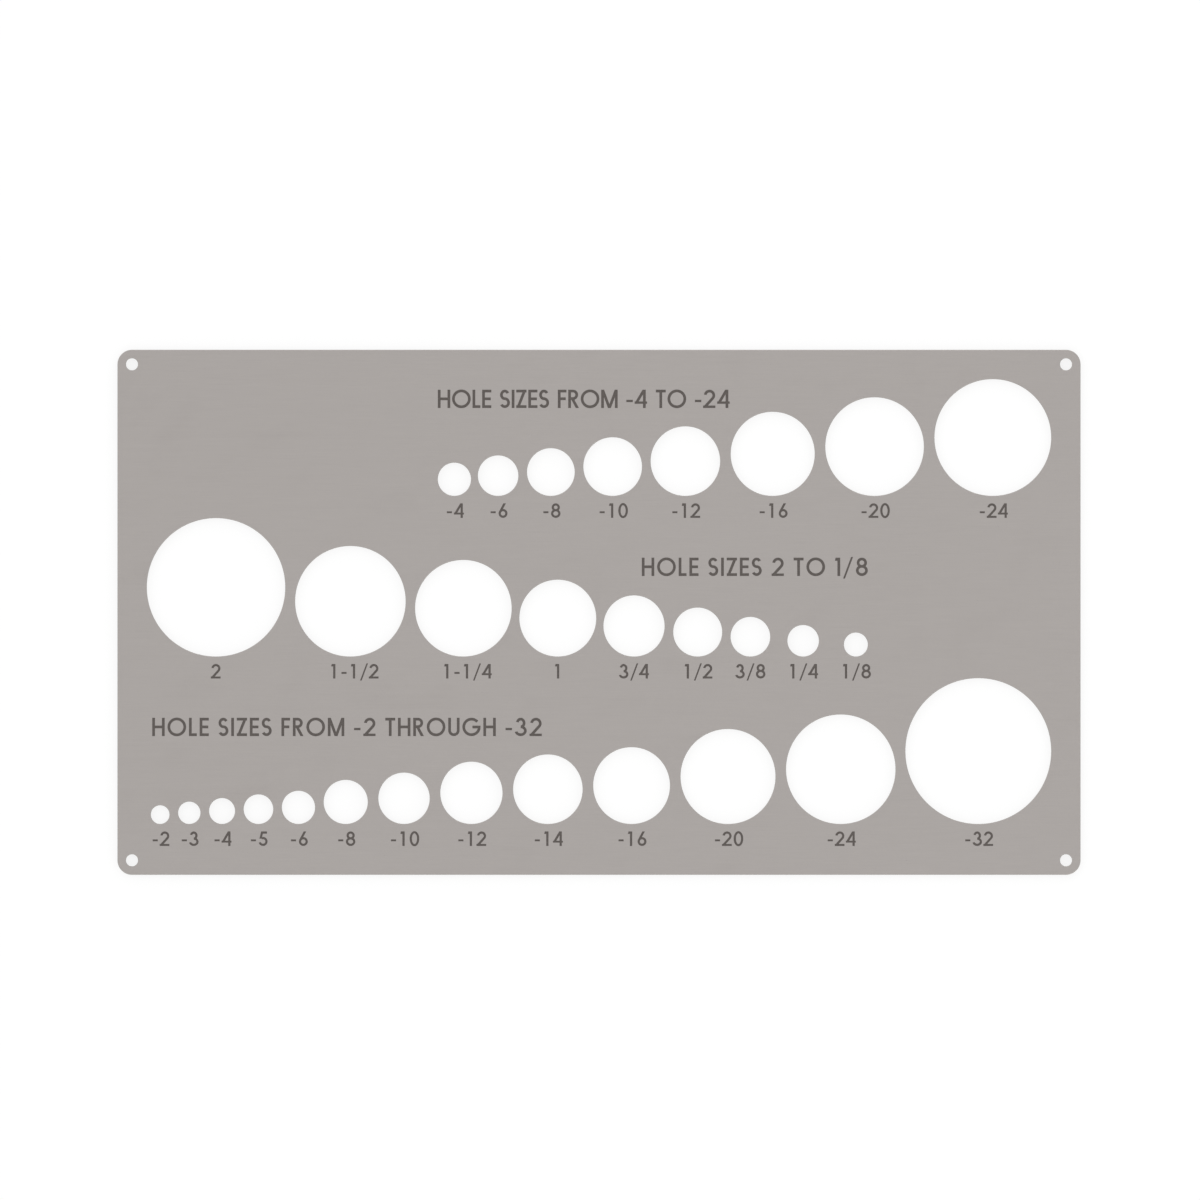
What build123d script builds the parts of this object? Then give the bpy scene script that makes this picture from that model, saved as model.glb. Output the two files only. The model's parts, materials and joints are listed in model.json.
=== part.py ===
from build123d import *
import os

# Hydraulic fitting gauge: one flat steel sheet with three rows of size holes and a screw hole in each corner.
# A fitting's thread is tried in the holes, and the smallest hole that it enters tells its size.
# The sheet lies on its back at Z = 0. +X runs along the rows, and +Y runs up the sheet.
# Sizes are in millimetres. Threads are made to inch sizes, so those are given in inches.
INCH = 25.4

# Sheet
sheet_thickness = 0.125 * INCH
corner_radius = 0.25 * INCH
edge_break = 0.2

# Screw holes, measured from both edges of their corner
screw_hole_diameter = 5.25
screw_hole_inset = 0.25 * INCH

# How much wider a size hole is than what it measures. A tapered pipe's thin end enters a closer hole.
thread_clearance = 0.2
pipe_clearance = 0.03

# Metal from the sheet's edge to the nearest size hole
edge_margin = 12.85
small_end_margin = 14.6
bottom_margin = 22.25

# Metal between the largest hole of the row below and the line on which a row's holes stand
pipe_row_gap = 9.5
face_seal_row_gap = 9.75

# Metal between neighbouring holes
wide_web = 4.65
narrow_web = 3.8

# Top row, for face seal fittings, from its large end at the right
face_seal_threads = [
    2.0 * INCH,
    1.6875 * INCH,
    1.4375 * INCH,
    1.1875 * INCH,
    1.0 * INCH,
    0.8125 * INCH,
    0.6875 * INCH,
    0.5625 * INCH,
]
face_seal_last_web = 3.05
face_seal_webs = 3 * [wide_web] + 3 * [narrow_web] + [face_seal_last_web]

# Middle row, for tapered pipe threads, from its large end at the left.
# These are the pipes' outer diameters, to the nearest hundredth of an inch.
pipe_diameters = [
    2.38 * INCH,
    1.9 * INCH,
    1.66 * INCH,
    1.32 * INCH,
    1.05 * INCH,
    0.84 * INCH,
    0.68 * INCH,
    0.54 * INCH,
    0.41 * INCH,
]
pipe_webs = [4.35, 4.15, 3.4, 3.2, 3.8, 3.7, 7.55, 10.95]

# Bottom row, for straight threads with a ring seal or a flared end, from its large end at the right
straight_threads = [
    2.5 * INCH,
    1.875 * INCH,
    1.625 * INCH,
    1.3125 * INCH,
    1.1875 * INCH,
    1.0625 * INCH,
    0.875 * INCH,
    0.75 * INCH,
    0.5625 * INCH,
    0.5 * INCH,
    0.4375 * INCH,
    0.375 * INCH,
    0.3125 * INCH,
]
straight_first_web = 4.35
straight_webs = [straight_first_web] + 6 * [wide_web] + 5 * [narrow_web]


def hole_sizes(diameters, clearance):
    """Diameters of the holes that threads or pipes of these diameters just enter."""
    return [diameter + clearance for diameter in diameters]


def row_length(holes, webs):
    """Length of a row from the outer side of its first hole to the outer side of its last."""
    return sum(holes) + sum(webs)


def distances_from_edge(holes, webs):
    """How far each hole's centre lies from the sheet's edge at the row's large end."""
    distances = []
    near_side = edge_margin
    for hole, web in zip(holes, webs + [0]):
        distances.append(near_side + hole / 2)
        near_side += hole + web
    return distances


face_seal_holes = hole_sizes(face_seal_threads, thread_clearance)
pipe_holes = hole_sizes(pipe_diameters, pipe_clearance)
straight_holes = hole_sizes(straight_threads, thread_clearance)

# The longest row sets the sheet's length, and the rows above one another set its width
longest_row = max(
    row_length(face_seal_holes, face_seal_webs),
    row_length(pipe_holes, pipe_webs),
    row_length(straight_holes, straight_webs),
)
sheet_length = edge_margin + longest_row + small_end_margin
straight_line = bottom_margin
pipe_line = straight_line + max(straight_holes) + pipe_row_gap
face_seal_line = pipe_line + max(pipe_holes) + face_seal_row_gap
sheet_width = face_seal_line + max(face_seal_holes) + edge_margin

left_edge = -sheet_length / 2
right_edge = sheet_length / 2
bottom_edge = -sheet_width / 2


def row_places(holes, webs, line, edge, inwards):
    """Centre and diameter of each hole of a row whose holes all stand on one line."""
    places = []
    for hole, distance in zip(holes, distances_from_edge(holes, webs)):
        centre = (edge + inwards * distance, bottom_edge + line + hole / 2)
        places.append((centre, hole))
    return places


size_holes = (
    row_places(face_seal_holes, face_seal_webs, face_seal_line, right_edge, -1)
    + row_places(pipe_holes, pipe_webs, pipe_line, left_edge, 1)
    + row_places(straight_holes, straight_webs, straight_line, right_edge, -1)
)


def sheet_outline():
    """Flat shape of the sheet with all its holes."""
    with BuildSketch() as outline:
        RectangleRounded(sheet_length, sheet_width, corner_radius)
        for centre, diameter in size_holes:
            with Locations(centre):
                Circle(diameter / 2, mode=Mode.SUBTRACT)
        screw_spacing_x = sheet_length - 2 * screw_hole_inset
        screw_spacing_y = sheet_width - 2 * screw_hole_inset
        with GridLocations(screw_spacing_x, screw_spacing_y, 2, 2):
            Circle(screw_hole_diameter / 2, mode=Mode.SUBTRACT)
    return outline.sketch


def gauge_plate():
    """The sheet, with the sharp edges of both faces taken off all round and in every hole."""
    with BuildPart() as plate:
        add(sheet_outline())
        extrude(amount=sheet_thickness)
        faces = plate.faces().sort_by(Axis.Z)
        chamfer(faces[0].edges() + faces[-1].edges(), length=edge_break)
    return plate.part


os.makedirs("parts", exist_ok=True)
export_step(gauge_plate(), "parts/gauge_plate.step")
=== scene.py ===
import json
import math

import bpy
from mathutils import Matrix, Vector
from mathutils.geometry import delaunay_2d_cdt


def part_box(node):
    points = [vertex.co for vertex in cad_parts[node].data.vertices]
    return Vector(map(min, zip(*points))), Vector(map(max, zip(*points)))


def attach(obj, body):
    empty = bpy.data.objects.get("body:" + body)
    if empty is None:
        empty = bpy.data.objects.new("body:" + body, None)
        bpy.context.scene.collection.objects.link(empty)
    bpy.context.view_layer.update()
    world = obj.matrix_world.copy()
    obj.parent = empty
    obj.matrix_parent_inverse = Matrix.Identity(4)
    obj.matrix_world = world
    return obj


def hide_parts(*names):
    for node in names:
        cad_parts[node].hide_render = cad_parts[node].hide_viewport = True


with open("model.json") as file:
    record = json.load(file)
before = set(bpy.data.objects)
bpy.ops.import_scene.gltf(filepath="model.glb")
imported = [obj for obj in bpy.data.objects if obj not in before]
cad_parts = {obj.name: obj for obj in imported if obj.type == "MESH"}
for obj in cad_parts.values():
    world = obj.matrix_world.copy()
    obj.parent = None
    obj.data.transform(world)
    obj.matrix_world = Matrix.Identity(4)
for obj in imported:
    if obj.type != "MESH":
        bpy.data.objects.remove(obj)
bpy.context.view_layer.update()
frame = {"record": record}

# Plate lengths are worked out in millimetres and stored in metres.
MM = 0.001
plate_low, plate_high = (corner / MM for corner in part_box("gauge_plate"))
PLATE_TOP = plate_high.z

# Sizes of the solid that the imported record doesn't hold
CORNER_RADIUS = 6.35
EDGE_BREAK = 0.2

# How fine the plate's round edges are, and how close two of its points may be before they become one
CHORD = 1.0
FEWEST_SEGMENTS = 64
BREAK_STEPS = 2
SAME_POINT = 1e-5

# Space between areas of the plate's map, and the scale of the back on it, where the face's is 1
MAP_GAP = 1.2
BACK_MAP_SCALE = 0.45

# Marks cut into the face. Strokes and cells are shares of the height of a capital.
MARK_DEPTH = 0.12
NUMBER_HEIGHT = 6.35
NUMBER_STROKE = 0.154
NUMBER_DROP = 9.63
DIGIT_CELL = 0.763
DASH_CELL = 0.595
SLASH_CELL = 0.635
TITLE_HEIGHT = 8.0
TITLE_STROKE = 0.15
WORD_SPACE = 0.38
ARC_STEP = 7.5

# How far right of its hole's centre a number stands
DASHED_NUMBER_SHIFT = 0.25
PLAIN_NUMBER_SHIFT = 0.07
MIXED_NUMBER_SHIFT = 1.65

# How long each title is, and how far it stands above the line of its row's holes
FACE_SEAL_TITLE_LENGTH = 127.6
PIPE_TITLE_LENGTH = 98.8
STRAIGHT_TITLE_LENGTH = 170.3
TITLE_RISE = 38.4
PIPE_TITLE_RISE = 35.2
STRAIGHT_TITLE_INDENT = 0.6

# How far below its line and above it a row of marks may reach, as shares of the marks' height
MARKS_BELOW = 0.2
MARKS_ABOVE = 1.1

# Finish. Depths of the relief are in millimetres.
STEEL = (0.4, 0.374, 0.359)
OXIDE = (0.1055, 0.0915, 0.084)
FACE_ROUGHNESS = 0.4
EDGE_ROUGHNESS = 0.38
OXIDE_ROUGHNESS = 0.62
OXIDE_SHINE = 0.25
GRAIN_SHEEN = 0.5
QUARTER_TURN = 0.25
GRAIN_DEPTH = 0.012
CUT_LINE_DEPTH = 0.05
OXIDE_DEPTH = 0.015

# Stage, in metres
CAMERA_HEIGHT = 1.5
NEAREST_SEEN = 0.01
FARTHEST_SEEN = 10
FLOOR_SIDE = 12.0
FLOOR_GAP = 0.0001

# How pale and how rough the floor is, for the light that it throws back
FLOOR_GREY = 0.8
FLOOR_ROUGHNESS = 0.9

# Where the floor is seen, it glows by itself and adds this share of the light that falls on it
GLOW = 0.81
SHADOW_SHARE = 0.2

# Light from all round, at the horizon and straight above
HORIZON_LIGHT = 0.7
OVERHEAD_LIGHT = 1.0

# Lamps. Places and sizes are in metres, and the spread is in degrees.
LAMP_PLACE = (-0.9, 0.9, 1.5)
LAMP_SPREAD = 60
LAMP_LIGHT = 0.25
LOW_LAMPS = [(0.35, 1.1, 0.45), (0.6, -0.95, 0.4)]
LOW_LAMP_SIZE = (0.7, 0.25)
LOW_LAMP_LIGHT = 1.2

# The photograph's frame of 1200 pixels, and where the plate's centre stands in it
PHOTO_SIZE = 1200
PLATE_CENTRE_PX = (599.0, 612.3)
PX = 25.4 / 58.1


# Camera

def straight_down_camera():
    """Orthographic camera over the plate, with the photograph's framing."""
    data = bpy.data.cameras.new("camera")
    data.type = "ORTHO"
    data.ortho_scale = PHOTO_SIZE * PX * MM
    data.clip_start = NEAREST_SEEN
    data.clip_end = FARTHEST_SEEN
    camera = bpy.data.objects.new("camera", data)
    right = (PHOTO_SIZE / 2 - PLATE_CENTRE_PX[0]) * PX
    up = (PLATE_CENTRE_PX[1] - PHOTO_SIZE / 2) * PX
    camera.location = (right * MM, up * MM, CAMERA_HEIGHT)
    bpy.context.scene.collection.objects.link(camera)
    bpy.context.scene.camera = camera


straight_down_camera()


# Strokes of the marks. One unit is the height of a capital, and every shape is a list of corners.

def bar(x0, y0, x1, y1):
    """Upright rectangle."""
    return [(x0, y0), (x1, y0), (x1, y1), (x0, y1)]


def slant(bottom, top, stroke):
    """Sloping stroke between two points on its middle line, cut level at both ends."""
    (x0, y0), (x1, y1) = bottom, top
    half = stroke / 2 * math.hypot(x1 - x0, y1 - y0) / (y1 - y0)
    return [(x0 - half, y0), (x0 + half, y0), (x1 + half, y1), (x1 - half, y1)]


def arc(centre, radii, start, end, stroke):
    """Bent stroke along an ellipse, from one angle to another in degrees. radii are its outer ones."""
    steps = max(2, round(abs(end - start) / ARC_STEP))
    angles = [math.radians(start + (end - start) * k / steps) for k in range(steps + 1)]
    (cx, cy), (rx, ry) = centre, radii
    outer = [(cx + rx * math.cos(a), cy + ry * math.sin(a)) for a in angles]
    inner = [(cx + (rx - stroke) * math.cos(a), cy + (ry - stroke) * math.sin(a)) for a in angles]
    return outer + inner[::-1]


def tail(centre, radius, angle, level, stroke):
    """Straight stroke that goes on from a circle's arc at this angle, as far as a level."""
    a = math.radians(angle)
    corners = []
    for r in (radius, radius - stroke):
        x, y = centre[0] + r * math.cos(a), centre[1] + r * math.sin(a)
        corners += [(x, y), (x - (level - y) * math.tan(a), level)]
    outer, outer_end, inner, inner_end = corners
    return [outer, outer_end, inner_end, inner]


def ring(centre, radii, stroke):
    """Closed round stroke, as two halves."""
    return [arc(centre, radii, 0, 180, stroke), arc(centre, radii, 180, 360, stroke)]


def digit(sign, w):
    """Shapes of a sign used in numbers, drawn about the middle of its cell with strokes w wide."""
    if sign == "0":
        return ring((0.0, 0.5), (0.33, 0.52), w)
    if sign == "1":
        side = 0.01 - w / 2
        nib = [(side - 0.14, 0.83), (side, 0.83), (side, 1.0), (side - 0.1, 1.0)]
        return [bar(side, 0, side + w, 1), nib]
    if sign == "2":
        centre, r, end = (-0.02, 0.69), 0.31, -42
        return [
            arc(centre, (r, r), 172, end, w),
            tail(centre, r, end, w * 0.8, w),
            bar(-0.37, 0, 0.3, w * 0.9),
        ]
    if sign == "3":
        low = 0.29
        high = (1 - 2 * low + w) / 2
        return [
            arc((-0.03, 1 - high), (0.26, high), 168, -90, w),
            arc((-0.03, low), (0.33, low), 90, -168, w),
        ]
    if sign == "4":
        stem = 0.165
        return [
            bar(stem - w / 2, 0, stem + w / 2, 1),
            bar(-0.37, 0.23, stem + 0.15, 0.23 + w * 0.85),
            slant((-0.28, 0.27), (stem - 0.01, 1.0), w),
        ]
    if sign == "5":
        return [
            bar(-0.15, 1 - w, 0.25, 1),
            slant((-0.19, 0.5), (-0.07, 1.0), w),
            arc((-0.02, 0.31), (0.31, 0.31), 117, -165, w),
        ]
    if sign == "6":
        centre, r = (0.0, 0.305), 0.305
        return ring(centre, (r, r), w) + [tail(centre, r, 152, 1.0, w)]
    if sign == "8":
        low = 0.3
        high = (1 - 2 * low + w) / 2
        return ring((0.0, low), (0.325, low), w) + ring((0.0, 1 - high), (0.28, high), w)
    if sign == "-":
        return [bar(-0.175, 0.385 - w * 0.42, 0.175, 0.385 + w * 0.42)]
    if sign == "/":
        return [slant((-0.22, -0.14), (0.22, 1.04), w * 0.66)]
    raise ValueError(f"no sign for {sign}")


def capital(letter, w):
    """Shapes of a capital letter with strokes w wide."""
    if letter == "E":
        return [
            bar(0, 0, w, 1),
            bar(0, 0, 0.5, w),
            bar(0, 0.5 - w / 2, 0.47, 0.5 + w / 2),
            bar(0, 1 - w, 0.5, 1),
        ]
    if letter == "F":
        return [bar(0, 0, w, 1), bar(0, 0.43, 0.43, 0.43 + w), bar(0, 1 - w, 0.47, 1)]
    if letter == "G":
        return [arc((0.5, 0.5), (0.5, 0.5), 42, 351, w), bar(0.55, 0.42, 0.99, 0.42 + w)]
    if letter == "H":
        return [bar(0, 0, w, 1), bar(0.68 - w, 0, 0.68, 1), bar(0, 0.5 - w / 2, 0.68, 0.5 + w / 2)]
    if letter == "I":
        return [bar(0, 0, w, 1)]
    if letter == "L":
        return [bar(0, 0, w, 1), bar(0, 0, 0.43, w)]
    if letter == "M":
        left = slant((0.45, 0.0), (w * 0.54, 1.0), w)
        right = slant((0.45, 0.0), (0.9 - w * 0.54, 1.0), w)
        return [bar(0, 0, w, 1), bar(0.9 - w, 0, 0.9, 1), left, right]
    if letter == "O":
        return ring((0.51, 0.5), (0.51, 0.51), w)
    if letter == "R":
        bowl = 0.28
        return [
            bar(0, 0, w, 1),
            bar(0, 1 - w, 0.26, 1),
            bar(0, 1 - 2 * bowl, 0.26, 1 - 2 * bowl + w),
            arc((0.26, 1 - bowl), (bowl, bowl), -90, 90, w),
            slant((0.5, 0.0), (0.22, 1 - 2 * bowl + w / 2), w),
        ]
    if letter == "S":
        low = 0.292
        high = (1 + w) / 2 - low
        return [arc((0.28, 1 - high), (0.26, high), 28, 270, w), arc((0.28, low), (0.28, low), 90, -152, w)]
    if letter == "T":
        return [bar(0, 1 - w, 0.54, 1), bar(0.27 - w / 2, 0, 0.27 + w / 2, 1)]
    if letter == "U":
        low = 0.31
        return [bar(0, low, w, 1), bar(0.62 - w, low, 0.62, 1), arc((0.31, low), (0.31, low), 180, 360, w)]
    if letter == "Z":
        return [bar(0, 1 - w, 0.56, 1), bar(0, 0, 0.56, w), slant((0.11, w / 2), (0.45, 1 - w / 2), w)]
    raise ValueError(f"no sign for {letter}")


def shifted(shapes, x):
    """The shapes, moved along the line."""
    return [[(px + x, py) for px, py in shape] for shape in shapes]


def number_line(text):
    """(length, shapes) of a number. Each sign stands in the middle of its own cell."""
    shapes = []
    x = 0.0
    for sign in text:
        cell = {"-": DASH_CELL, "/": SLASH_CELL}.get(sign, DIGIT_CELL)
        shapes += shifted(digit(sign, NUMBER_STROKE), x + cell / 2)
        x += cell
    return x, shapes


def title_sign(sign):
    """Shapes of one sign of a title."""
    draw = capital if sign.isalpha() else digit
    return draw(sign, TITLE_STROKE)


def title_line(text, length):
    """Shapes of a title that fills the length, with the same gap between all its signs."""
    words = [[title_sign(sign) for sign in word] for word in text.split()]
    spans = [[ink_span(sign) for sign in word] for word in words]
    inked = sum(right - left for word in spans for left, right in word)
    spaces = WORD_SPACE * (len(words) - 1)
    gap = (length - inked - spaces) / (sum(len(word) for word in words) - 1)
    shapes = []
    x = 0.0
    for word, word_spans in zip(words, spans):
        for sign, (left, right) in zip(word, word_spans):
            shapes += shifted(sign, x - left)
            x += right - left + gap
        x += WORD_SPACE
    return shapes


def ink_span(shapes):
    """Left and right end of the shapes."""
    ends = [x for shape in shapes for x, _ in shape]
    return min(ends), max(ends)


def placed(shapes, height, x, y):
    """The shapes at full size, in plate millimetres."""
    return [[(x + px * height, y + py * height) for px, py in shape] for shape in shapes]


# Holes of the plate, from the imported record

def holes_of(record):
    """(x, y, radius) of each size hole by its mount's name, and of each screw hole."""
    sizes = {}
    screws = []
    for mount in record["mounts"]:
        x, y = mount["pos_m"][0] / MM, mount["pos_m"][1] / MM
        dims = mount["dims"]
        if mount["kind"] == "bore":
            sizes[mount["name"]] = (x, y, dims["r_mm"])
        if mount["kind"] == "bolt_pattern":
            half_x, half_y = dims["spacing_x_mm"] / 2, dims["spacing_y_mm"] / 2
            places = [(x + i * half_x, y + j * half_y) for i in (-1, 1) for j in (-1, 1)]
            screws += [(*place, dims["hole_r_mm"]) for place in places]
    return sizes, screws


size_holes, screw_holes = holes_of(frame["record"])


def row(family):
    """The holes of one family, as (size, hole), from left to right."""
    prefix = family + "_hole_"
    found = [(name[len(prefix):], hole) for name, hole in size_holes.items() if name.startswith(prefix)]
    return sorted(found, key=lambda item: item[1][0])


# Marks: a number under every hole, and a title over every row

def written(family, size):
    """A hole's size as it is marked on the plate, such as -8, 2, 3/4 or 1-1/2."""
    if family != "pipe":
        return "-" + size
    if "_" not in size:
        return size
    *whole, over, under = size.split("_")
    return "-".join(whole + [over + "/" + under])


def number_shift(text):
    """How far a number stands right of its hole's centre."""
    if text.startswith("-"):
        return DASHED_NUMBER_SHIFT
    return MIXED_NUMBER_SHIFT if "-" in text else PLAIN_NUMBER_SHIFT


def row_ends(family):
    """Left and right end of a row of holes."""
    places = [hole for _, hole in row(family)]
    return min(x - radius for x, _, radius in places), max(x + radius for x, _, radius in places)


def hole_line(family):
    """Height of the line on which a row's holes stand."""
    _, (_, y, radius) = row(family)[0]
    return y - radius


def number_marks(family):
    """(baseline, height, shapes) of the numbers of one row."""
    baseline = hole_line(family) - NUMBER_DROP
    shapes = []
    for size, (x, _, _) in row(family):
        text = written(family, size)
        length, strokes = number_line(text)
        left = x + number_shift(text) - length * NUMBER_HEIGHT / 2
        shapes += placed(strokes, NUMBER_HEIGHT, left, baseline)
    return baseline, NUMBER_HEIGHT, shapes


def title_mark(family, rise, text, left, length):
    """(baseline, height, shapes) of the title that stands rise above the line of a row's holes."""
    baseline = hole_line(family) + rise
    strokes = title_line(text, length / TITLE_HEIGHT)
    return baseline, TITLE_HEIGHT, placed(strokes, TITLE_HEIGHT, left, baseline)


def title_marks():
    """The three titles."""
    face_seal_left, _ = row_ends("face_seal")
    _, pipe_right = row_ends("pipe")
    straight_left, _ = row_ends("straight")
    face_seal = ("HOLE SIZES FROM -4 TO -24", face_seal_left, FACE_SEAL_TITLE_LENGTH)
    pipe = ("HOLE SIZES 2 TO 1/8", pipe_right - PIPE_TITLE_LENGTH, PIPE_TITLE_LENGTH)
    straight_left += STRAIGHT_TITLE_INDENT
    straight = ("HOLE SIZES FROM -2 THROUGH -32", straight_left, STRAIGHT_TITLE_LENGTH)
    return [
        title_mark("face_seal", TITLE_RISE, *face_seal),
        title_mark("pipe", PIPE_TITLE_RISE, *pipe),
        title_mark("straight", TITLE_RISE, *straight),
    ]


mark_rows = title_marks() + [number_marks(family) for family in ("face_seal", "pipe", "straight")]
marks = [shape for _, _, shapes in mark_rows for shape in shapes]


# Plate

def circle_loop(x, y, radius, segments):
    """Corners of a circle, anticlockwise, each with its outward direction."""
    turns = [2 * math.pi * k / segments for k in range(segments)]
    ways = [(math.cos(t), math.sin(t)) for t in turns]
    return [((x + radius * dx, y + radius * dy), (dx, dy)) for dx, dy in ways]


def outline_loop():
    """Corners of the plate's outline, anticlockwise, each with its outward direction."""
    r = CORNER_RADIUS
    centres = [
        (plate_high.x - r, plate_high.y - r),
        (plate_low.x + r, plate_high.y - r),
        (plate_low.x + r, plate_low.y + r),
        (plate_high.x - r, plate_low.y + r),
    ]
    loop = []
    steps = FEWEST_SEGMENTS // 4
    for quarter, (cx, cy) in enumerate(centres):
        for k in range(steps + 1):
            t = math.pi / 2 * (quarter + k / steps)
            loop.append(((cx + r * math.cos(t), cy + r * math.sin(t)), (math.cos(t), math.sin(t))))
    return loop


def segments_for(radius):
    """How many segments a hole of this radius has."""
    return max(FEWEST_SEGMENTS, round(2 * math.pi * radius / CHORD))


def anticlockwise(points):
    """The points in anticlockwise order."""
    area = sum(a[0] * b[1] - b[0] * a[1] for a, b in zip(points, points[1:] + points[:1]))
    return points if area > 0 else points[::-1]


def moved(loop, distance):
    """A loop's corners, moved along their directions."""
    return [(x + dx * distance, y + dy * distance) for (x, y), (dx, dy) in loop]


FACE, EDGE, MARK = range(3)
UP = (0.0, 0.0, 1.0)
DOWN = (0.0, 0.0, -1.0)


class PlateMesh:
    """Collects the plate's vertices and faces, with their materials, normals and places on the map."""

    def __init__(self):
        self.places = []
        self.faces = []
        self.slots = []
        self.normals = []
        self.map = []

    def vertex(self, x, y, z):
        """Adds a vertex and returns its number."""
        self.places.append((x * MM, y * MM, z * MM))
        return len(self.places) - 1

    def face(self, corners, normals, on_map, slot):
        """Adds a face, with a normal and a place on the map for each of its corners."""
        self.faces.append(corners)
        self.normals += normals
        self.map += on_map
        self.slots.append(slot)


class MapSheet:
    """Hands out room on the plate's square map, in plate millimetres, row by row from the bottom."""

    def __init__(self):
        self.side = plate_high.x - plate_low.x + 2 * MAP_GAP
        self.x = self.y = self.high = 0.0

    def room(self, width, height):
        """Lower left corner of an area of this size."""
        if self.x + width + 2 * MAP_GAP > self.side + SAME_POINT:
            self.x = 0.0
            self.y += self.high
            self.high = 0.0
        corner = (self.x + MAP_GAP, self.y + MAP_GAP)
        self.x += width + MAP_GAP
        self.high = max(self.high, height + MAP_GAP)
        return corner

    def flat(self, low, high, scale):
        """Room for the rectangle from low to high. The result turns a place there into one on the map."""
        u, v = self.room((high[0] - low[0]) * scale, (high[1] - low[1]) * scale)
        return lambda x, y: ((u + (x - low[0]) * scale) / self.side, (v + (y - low[1]) * scale) / self.side)


def mark_maps(sheet):
    """(lowest y, highest y, map function) of each row of marks."""
    maps = []
    for baseline, height, shapes in mark_rows:
        left, right = ink_span(shapes)
        low, high = baseline - MARKS_BELOW * height, baseline + MARKS_ABOVE * height
        maps.append((low, high, sheet.flat((left, low), (right, high), 1.0)))
    return maps


def triangulated(outlines):
    """Fills the outlines with triangles. Returns the points, the triangles, the numbers of the outlines
    that each triangle lies in, and the points that each outline's corners became."""
    points = []
    corners = []
    for outline in outlines:
        corners.append(list(range(len(points), len(points) + len(outline))))
        points += [Vector(place) for place in outline]
    flat, _, triangles, origins, _, inside = delaunay_2d_cdt(points, [], corners, 1, SAME_POINT)
    became = {}
    for new, olds in enumerate(origins):
        for old in olds:
            became[old] = new
    owned = [set(owners) for owners in inside]
    rings = [[became[i] for i in numbers] for numbers in corners]
    return flat, triangles, owned, rings


def layer(mesh, flat, z):
    """A function that turns a flat point's number into its vertex at this height."""
    made = {}

    def vertex(i):
        if i not in made:
            made[i] = mesh.vertex(flat[i].x, flat[i].y, z)
        return made[i]

    return vertex


def flat_side(mesh, loops, signs, shapes, z, normal, on_map, row_maps):
    """One flat side of the plate, with shallow recesses where the shapes are. signs are as for wall.
    Returns, for each loop, the vertices that its corners became."""
    edges = [moved(loop, -sign * EDGE_BREAK) for loop, sign in zip(loops, signs)]
    flat, triangles, inside, rings = triangulated(edges + [anticlockwise(shape) for shape in shapes])
    on_top = layer(mesh, flat, z)
    outline = {0}
    holes = set(range(1, len(loops)))
    marked = []
    for triangle, owners in zip(triangles, inside):
        if owners & holes or not owners & outline:
            continue
        if owners - outline:
            marked.append(triangle)
            continue
        if normal[2] < 0:
            triangle = triangle[::-1]
        mesh.face([on_top(i) for i in triangle], [normal] * 3, [on_map(*flat[i]) for i in triangle], FACE)
    recess(mesh, flat, marked, on_top, z, row_maps)
    return [[on_top(i) for i in numbers] for numbers in rings[:len(loops)]]


def recess(mesh, flat, triangles, on_top, z, row_maps):
    """Sinks the triangles of the marks below the face, and closes the marks' sides."""
    on_floor = layer(mesh, flat, z - MARK_DEPTH)

    def row_map(y):
        return next(place for low, high, place in row_maps if low <= y <= high)

    sides = []
    for triangle in triangles:
        place = row_map(flat[triangle[0]].y)
        mesh.face([on_floor(i) for i in triangle], [UP] * 3, [place(*flat[i]) for i in triangle], MARK)
        sides += zip(triangle, triangle[1:] + triangle[:1])
    known = set(sides)
    for a, b in sides:
        if (b, a) in known:
            continue
        along = (flat[b] - flat[a]).normalized()
        side = Vector((-along.y, along.x, 0.0))
        outer = [flat[i] - side.xy * MARK_DEPTH for i in (a, b)]
        place = row_map(flat[a].y)
        on_sheet = [place(*outer[0]), place(*outer[1]), place(*flat[b]), place(*flat[a])]
        mesh.face([on_top(a), on_top(b), on_floor(b), on_floor(a)], [tuple(side)] * 4, on_sheet, MARK)


def stretches(steps, longest):
    """The numbers of the steps round a loop, in groups that are no longer than this."""
    groups = [[]]
    for k, step in enumerate(steps):
        if sum(steps[i] for i in groups[-1]) + step > longest:
            groups.append([])
        groups[-1].append(k)
    return groups


def wall_levels(mesh, loop, sign, top_ring, bottom_ring):
    """The rings of vertices down a wall, each with the angle of its normals from straight up."""
    turns = [math.pi / 2 * k / BREAK_STEPS for k in range(1, BREAK_STEPS + 1)]
    places = [(a, PLATE_TOP - EDGE_BREAK * (1 - math.cos(a))) for a in turns]
    places += [(math.pi - a, PLATE_TOP - z) for a, z in reversed(places)]
    levels = [(top_ring, 0.0)]
    for a, z in places:
        inset = EDGE_BREAK * (1 - math.sin(a))
        vertices = [mesh.vertex(x, y, z) for x, y in moved(loop, -sign * inset)]
        levels.append((vertices, a))
    levels.append((bottom_ring, math.pi))
    return levels


def wall_depths():
    """How far each level of a wall lies from its top level, measured over the wall's surface."""
    arc_step = EDGE_BREAK * math.pi / 2 / BREAK_STEPS
    upper = [k * arc_step for k in range(BREAK_STEPS + 1)]
    straight = PLATE_TOP - 2 * EDGE_BREAK
    return upper + [upper[-1] + straight + depth for depth in upper]


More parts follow.
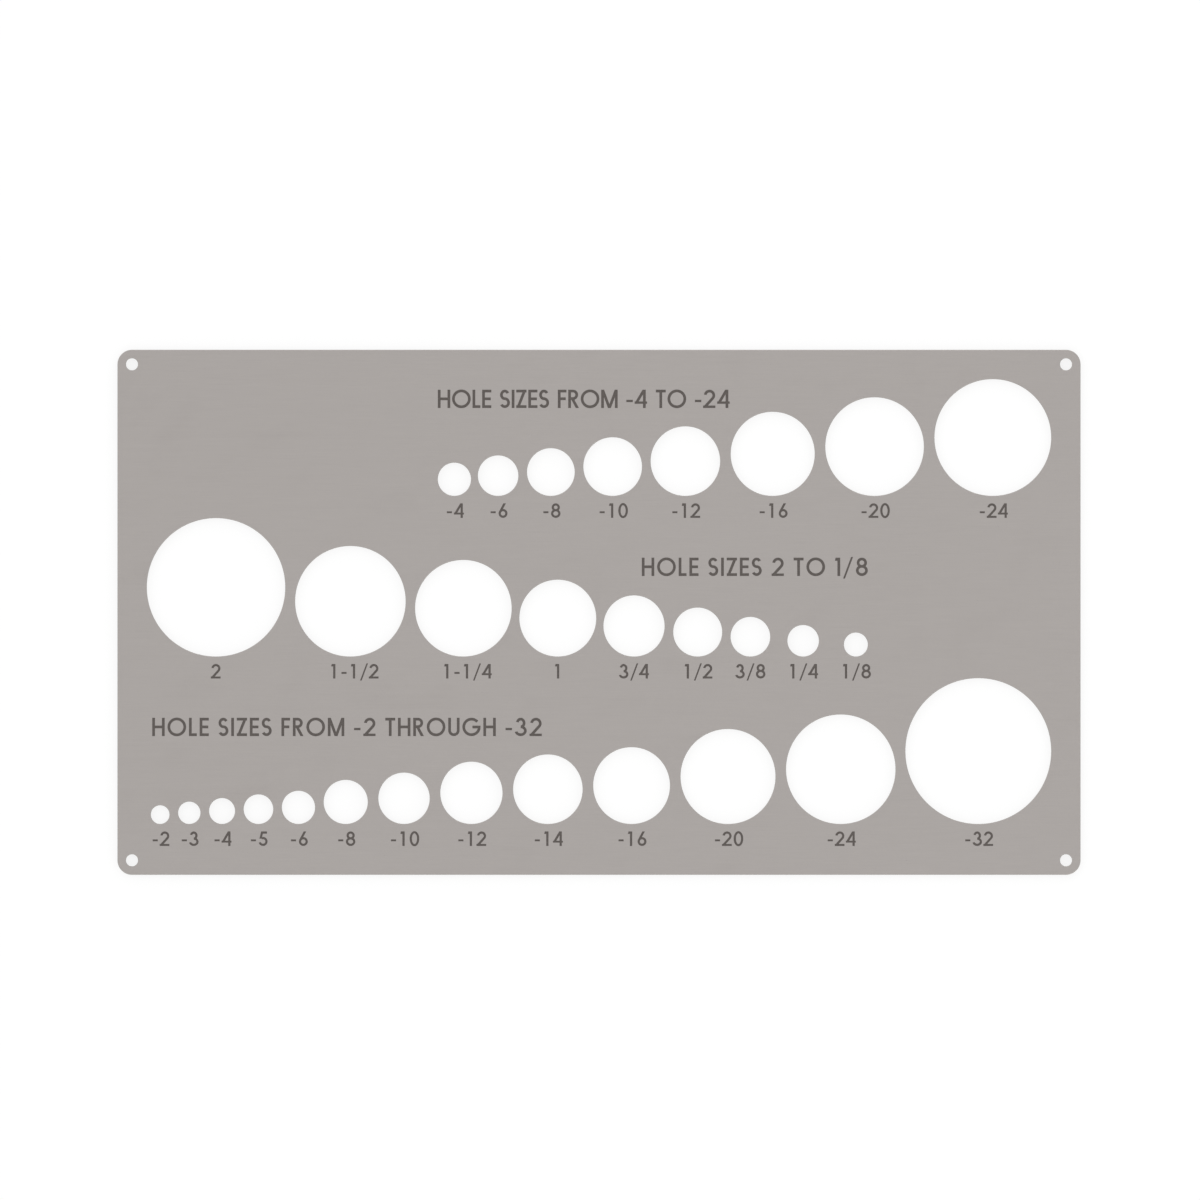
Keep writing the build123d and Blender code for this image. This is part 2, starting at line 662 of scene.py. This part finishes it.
def wall(mesh, loop, sign, top_ring, bottom_ring, sheet):
    """The wall of one loop with its rounded edge breaks. sign is 1 for the outline and -1 for a hole."""
    levels = wall_levels(mesh, loop, sign, top_ring, bottom_ring)
    depths = wall_depths()
    count = len(loop)
    steps = [math.dist(a[0], b[0]) for a, b in zip(loop, loop[1:] + loop[:1])]

    def normal(k, angle):
        dx, dy = loop[k][1]
        out = sign * math.sin(angle)
        return (dx * out, dy * out, math.cos(angle))

    for stretch in stretches(steps, plate_high.x - plate_low.x):
        left, bottom = sheet.room(sum(steps[k] for k in stretch), depths[-1])
        for k in stretch:
            right = left + steps[k]
            n = (k + 1) % count
            for (upper, high), (lower, low), d0, d1 in zip(levels, levels[1:], depths, depths[1:]):
                v0, v1 = (bottom + depths[-1] - depth for depth in (d0, d1))
                corners = [upper[k], lower[k], lower[n], upper[n]]
                normals = [normal(k, high), normal(k, low), normal(n, low), normal(n, high)]
                on_sheet = [(left, v0), (left, v1), (right, v1), (right, v0)]
                if sign < 0:
                    corners.reverse()
                    normals.reverse()
                    on_sheet.reverse()
                mesh.face(corners, normals, [(u / sheet.side, v / sheet.side) for u, v in on_sheet], EDGE)
            left = right


def plate_piece():
    """The whole plate as one closed mesh, with a map on which its face is largest."""
    loops = [outline_loop()]
    loops += [circle_loop(x, y, r, segments_for(r)) for x, y, r in [*size_holes.values(), *screw_holes]]
    signs = [1] + [-1] * (len(loops) - 1)
    mesh = PlateMesh()
    sheet = MapSheet()
    face_map = sheet.flat(plate_low.xy, plate_high.xy, 1.0)
    back_map = sheet.flat(plate_low.xy, plate_high.xy, BACK_MAP_SCALE)
    row_maps = mark_maps(sheet)
    tops = flat_side(mesh, loops, signs, marks, PLATE_TOP, UP, face_map, row_maps)
    bottoms = flat_side(mesh, loops, signs, [], 0.0, DOWN, back_map, [])
    for loop, sign, top_ring, bottom_ring in zip(loops, signs, tops, bottoms):
        wall(mesh, loop, sign, top_ring, bottom_ring, sheet)
    data = bpy.data.meshes.new("marked_plate")
    data.from_pydata(mesh.places, [], mesh.faces)
    data.polygons.foreach_set("material_index", mesh.slots)
    data.polygons.foreach_set("use_smooth", [True] * len(mesh.faces))
    plate_map = data.uv_layers.new(name="OFBake")
    plate_map.uv.foreach_set("vector", [n for place in mesh.map for n in place])
    data.update()
    data.normals_split_custom_set(mesh.normals)
    piece = bpy.data.objects.new("marked_plate", data)
    bpy.context.scene.collection.objects.link(piece)
    return piece


plate = plate_piece()


# Materials

class Surface:
    """A node material, with short ways to make the nodes behind its shader's sockets."""

    def __init__(self, name):
        self.material = bpy.data.materials.new(name)
        self.material.use_nodes = True
        self.nodes = self.material.node_tree.nodes
        self.links = self.material.node_tree.links
        self.shader = self.nodes["Principled BSDF"]
        self.place = self.nodes.new("ShaderNodeTexCoord").outputs["Object"]

    def put(self, socket, value):
        """Gives an input a number or the output of another node."""
        if isinstance(value, bpy.types.NodeSocket):
            self.links.new(value, socket)
        else:
            socket.default_value = value

    def math(self, operation, *values):
        """A sum, product or the like of numbers and other nodes' outputs."""
        node = self.nodes.new("ShaderNodeMath")
        node.operation = operation
        for socket, value in zip(node.inputs, values):
            self.put(socket, value)
        return node.outputs[0]

    def waves(self, size, turn=0.0, detail=3.0, start=(0.0, 0.0, 0.0)):
        """Noise of about 0 to 1. size is that of its waves in millimetres, and turn turns them about Z."""
        mapping = self.nodes.new("ShaderNodeMapping")
        mapping.vector_type = "TEXTURE"
        mapping.inputs["Scale"].default_value = [length * MM for length in size]
        mapping.inputs["Rotation"].default_value[2] = math.radians(turn)
        mapping.inputs["Location"].default_value = start
        noise = self.nodes.new("ShaderNodeTexNoise")
        noise.inputs["Scale"].default_value = 1.0
        noise.inputs["Detail"].default_value = detail
        self.links.new(self.place, mapping.inputs["Vector"])
        self.links.new(mapping.outputs["Vector"], noise.inputs["Vector"])
        return noise.outputs["Fac"]

    def ramp(self, value, low, high, at_low=0.0, at_high=1.0):
        """value, stretched so that low becomes at_low and high becomes at_high."""
        node = self.nodes.new("ShaderNodeMapRange")
        self.put(node.inputs["Value"], value)
        ends = {"From Min": low, "From Max": high, "To Min": at_low, "To Max": at_high}
        for name, number in ends.items():
            node.inputs[name].default_value = number
        return node.outputs["Result"]

    def about(self, middle, parts):
        """middle, moved up and down by parts of (value of 0 to 1, how far it moves in all)."""
        total = middle - sum(reach for _, reach in parts) / 2
        for value, reach in parts:
            total = self.math("MULTIPLY_ADD", value, reach, total)
        return total

    def colour(self, colour, shade):
        """The shader's colour, multiplied by shade."""
        node = self.nodes.new("ShaderNodeVectorMath")
        node.operation = "SCALE"
        node.inputs[0].default_value = colour
        self.put(node.inputs["Scale"], shade)
        self.links.new(node.outputs["Vector"], self.shader.inputs["Base Color"])

    def bump(self, height, depth):
        """Relief that is depth millimetres high where height goes from 0 to 1."""
        node = self.nodes.new("ShaderNodeBump")
        node.inputs["Distance"].default_value = depth * MM
        self.put(node.inputs["Height"], height)
        self.links.new(node.outputs["Normal"], self.shader.inputs["Normal"])


def scratches(surface, turn, start):
    """1 on a few fine, short scratches that lie in one direction, and 0 between them."""
    lines = surface.waves((14.0, 0.16, 1.0), turn, detail=1.0, start=start)
    places = surface.waves((26.0, 9.0, 1.0), turn, detail=1.0, start=start)
    return surface.math("MULTIPLY", surface.ramp(lines, 0.71, 0.77), surface.ramp(places, 0.52, 0.64))


def brushed_sheet():
    """Steel sheet with a fine grain along its length and a few faint marks from handling."""
    surface = Surface("brushed_sheet")
    hair = surface.waves((16.0, 0.11, 1.0), detail=2.0)
    grain = surface.waves((45.0, 0.45, 1.0), detail=2.0, start=(0.3, 0.1, 0.0))
    band = surface.waves((160.0, 4.0, 1.0), detail=2.0, start=(0.2, 0.6, 0.0))
    cloud = surface.waves((70.0, 45.0, 1.0), detail=4.0)
    smudge = surface.ramp(surface.waves((24.0, 17.0, 1.0), 25.0, start=(0.5, 0.2, 0.0)), 0.52, 0.72)
    one_way = scratches(surface, 24.0, (0.2, 0.4, 0.0))
    other_way = scratches(surface, -38.0, (0.1, 0.7, 0.0))
    scratch = surface.math("MAXIMUM", one_way, other_way)
    shade = [(hair, 0.2), (grain, 0.07), (band, 0.02), (cloud, 0.02), (scratch, 0.04)]
    surface.colour(STEEL, surface.about(1.0, shade))
    gloss = [(hair, 0.28), (grain, 0.28), (band, 0.16), (cloud, 0.06), (smudge, 0.06), (scratch, -0.12)]
    surface.put(surface.shader.inputs["Roughness"], surface.about(FACE_ROUGHNESS, gloss))
    surface.put(surface.shader.inputs["Metallic"], 1.0)
    surface.put(surface.shader.inputs["Anisotropic"], GRAIN_SHEEN)
    surface.put(surface.shader.inputs["Anisotropic Rotation"], QUARTER_TURN)
    along = surface.nodes.new("ShaderNodeTangent")
    along.direction_type = "UV_MAP"
    along.uv_map = "OFBake"
    surface.put(surface.shader.inputs["Tangent"], along.outputs["Tangent"])
    surface.bump(surface.about(0.5, [(hair, 0.8), (grain, 0.5), (scratch, -0.4)]), GRAIN_DEPTH)
    return surface.material


def cut_edge():
    """The cut walls: upright lines that get rougher towards the back, and polished edge breaks whose
    lighter colour is partly the polish and partly a painted highlight along the edges.
    """
    surface = Surface("cut_edge")
    split = surface.nodes.new("ShaderNodeSeparateXYZ")
    surface.links.new(surface.place, split.inputs[0])
    height = split.outputs["Z"]
    thickness = PLATE_TOP * MM
    half = thickness / 2
    lines = surface.waves((0.42, 0.42, 9.0), detail=2.0)
    grit = surface.waves((0.14, 0.14, 0.4), detail=2.0)
    drag = surface.ramp(height, thickness * 0.7, thickness * 0.1)
    from_middle = surface.math("ABSOLUTE", surface.math("SUBTRACT", height, half))
    polish_and_highlight = surface.ramp(from_middle, half - 1.2 * EDGE_BREAK * MM, half - 0.7 * EDGE_BREAK * MM)
    streak = surface.math("MULTIPLY", lines, surface.about(0.75, [(drag, 0.5)]))
    # The edge breaks are lighter in colour: partly polish, partly a painted highlight that makes the
    # outline stand out crisply.
    shade = [(streak, 0.45), (grit, 0.14), (drag, -0.08), (polish_and_highlight, 0.16)]
    surface.colour(STEEL, surface.about(0.98, shade))
    gloss = [(lines, 0.2), (grit, 0.12), (drag, 0.1), (polish_and_highlight, -0.14)]
    surface.put(surface.shader.inputs["Roughness"], surface.about(EDGE_ROUGHNESS, gloss))
    surface.put(surface.shader.inputs["Metallic"], 1.0)
    flat = surface.math("SUBTRACT", 1.0, polish_and_highlight)
    relief = surface.about(0.5, [(streak, 0.9), (grit, 0.3)])
    surface.bump(surface.math("MULTIPLY", relief, flat), CUT_LINE_DEPTH)
    return surface.material


def mark_oxide():
    """The floor of the marks: dull brown-grey oxide, burnt in lines along the plate."""
    surface = Surface("mark_oxide")
    mottle = surface.waves((0.9, 0.7, 1.0), detail=4.0)
    lines = surface.waves((5.0, 0.12, 1.0), detail=1.0)
    surface.colour(OXIDE, surface.about(1.0, [(mottle, 0.5), (lines, 0.5)]))
    gloss = [(mottle, 0.3), (lines, 0.2)]
    surface.put(surface.shader.inputs["Roughness"], surface.about(OXIDE_ROUGHNESS, gloss))
    surface.put(surface.shader.inputs["Specular IOR Level"], OXIDE_SHINE)
    surface.bump(surface.about(0.5, [(mottle, 0.5), (lines, 0.6)]), OXIDE_DEPTH)
    return surface.material


for material in (brushed_sheet(), cut_edge(), mark_oxide()):
    plate.data.materials.append(material)
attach(plate, "root")
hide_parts("gauge_plate")


# Stage

def shown_to_camera(nodes, links):
    """1 for rays that show a thing straight, mirrored or through glass, and 0 for those that only light."""
    path = nodes.new("ShaderNodeLightPath")
    total = path.outputs["Is Camera Ray"]
    for name in ("Is Glossy Ray", "Is Transmission Ray"):
        add = nodes.new("ShaderNodeMath")
        add.operation = "ADD"
        add.use_clamp = True
        links.new(total, add.inputs[0])
        links.new(path.outputs[name], add.inputs[1])
        total = add.outputs[0]
    return total


def floor_material():
    """Pale and plain for the light that it throws back, and white with a faint shadow where it is seen."""
    material = bpy.data.materials.new("floor")
    material.use_nodes = True
    nodes, links = material.node_tree.nodes, material.node_tree.links
    plain = nodes["Principled BSDF"]
    plain.inputs["Base Color"].default_value = (FLOOR_GREY, FLOOR_GREY, FLOOR_GREY, 1)
    plain.inputs["Roughness"].default_value = FLOOR_ROUGHNESS
    plain.inputs["Specular IOR Level"].default_value = 0.0
    lit = nodes.new("ShaderNodeBsdfDiffuse")
    lit.inputs["Color"].default_value = (SHADOW_SHARE, SHADOW_SHARE, SHADOW_SHARE, 1)
    glow = nodes.new("ShaderNodeEmission")
    glow.inputs["Strength"].default_value = GLOW
    white = nodes.new("ShaderNodeAddShader")
    links.new(lit.outputs[0], white.inputs[0])
    links.new(glow.outputs[0], white.inputs[1])
    mix = nodes.new("ShaderNodeMixShader")
    links.new(shown_to_camera(nodes, links), mix.inputs["Fac"])
    links.new(plain.outputs[0], mix.inputs[1])
    links.new(white.outputs[0], mix.inputs[2])
    open_below = nodes.new("ShaderNodeMixShader")
    links.new(nodes.new("ShaderNodeNewGeometry").outputs["Backfacing"], open_below.inputs["Fac"])
    links.new(mix.outputs[0], open_below.inputs[1])
    links.new(nodes.new("ShaderNodeBsdfTransparent").outputs[0], open_below.inputs[2])
    links.new(open_below.outputs[0], nodes["Material Output"].inputs["Surface"])
    return material


def floor():
    """The floor just under the plate, which can be looked through from below."""
    half, z = FLOOR_SIDE / 2, -FLOOR_GAP
    data = bpy.data.meshes.new("floor")
    corners = [(-half, -half, z), (half, -half, z), (half, half, z), (-half, half, z)]
    data.from_pydata(corners, [], [(0, 1, 2, 3)])
    data.materials.append(floor_material())
    piece = bpy.data.objects.new("floor", data)
    bpy.context.scene.collection.objects.link(piece)


def surroundings():
    """Soft white light from all round, a little stronger from above and plain white where it is seen."""
    world = bpy.data.worlds.new("studio")
    bpy.context.scene.world = world
    world.use_nodes = True
    nodes, links = world.node_tree.nodes, world.node_tree.links
    split = nodes.new("ShaderNodeSeparateXYZ")
    links.new(nodes.new("ShaderNodeTexCoord").outputs["Generated"], split.inputs[0])
    slope = nodes.new("ShaderNodeMath")
    slope.operation = "ABSOLUTE"
    links.new(split.outputs["Z"], slope.inputs[0])
    climb = nodes.new("ShaderNodeMapRange")
    climb.inputs["To Min"].default_value = HORIZON_LIGHT
    climb.inputs["To Max"].default_value = OVERHEAD_LIGHT
    links.new(slope.outputs[0], climb.inputs["Value"])
    strength = nodes.new("ShaderNodeMath")
    strength.operation = "MAXIMUM"
    links.new(climb.outputs["Result"], strength.inputs[0])
    links.new(shown_to_camera(nodes, links), strength.inputs[1])
    links.new(strength.outputs[0], nodes["Background"].inputs["Strength"])
    nodes["Background"].inputs["Color"].default_value = (1, 1, 1, 1)


def aimed_lamp(data, place):
    """A lamp at this place that points at the plate."""
    lamp = bpy.data.objects.new(data.name, data)
    lamp.location = place
    lamp.rotation_euler = (-Vector(place)).to_track_quat("-Z", "Y").to_euler()
    bpy.context.scene.collection.objects.link(lamp)


def lamps():
    """One broad soft lamp from the upper left, and faint low ones whose sheen slides over the steel."""
    key = bpy.data.lights.new("softbox", "SUN")
    key.angle = math.radians(LAMP_SPREAD)
    key.energy = LAMP_LIGHT
    aimed_lamp(key, LAMP_PLACE)
    for place in LOW_LAMPS:
        low = bpy.data.lights.new("low_softbox", "AREA")
        low.shape = "RECTANGLE"
        low.size, low.size_y = LOW_LAMP_SIZE
        low.energy = LOW_LAMP_LIGHT
        aimed_lamp(low, place)


floor()
surroundings()
lamps()
bpy.context.scene.view_settings.view_transform = "Standard"
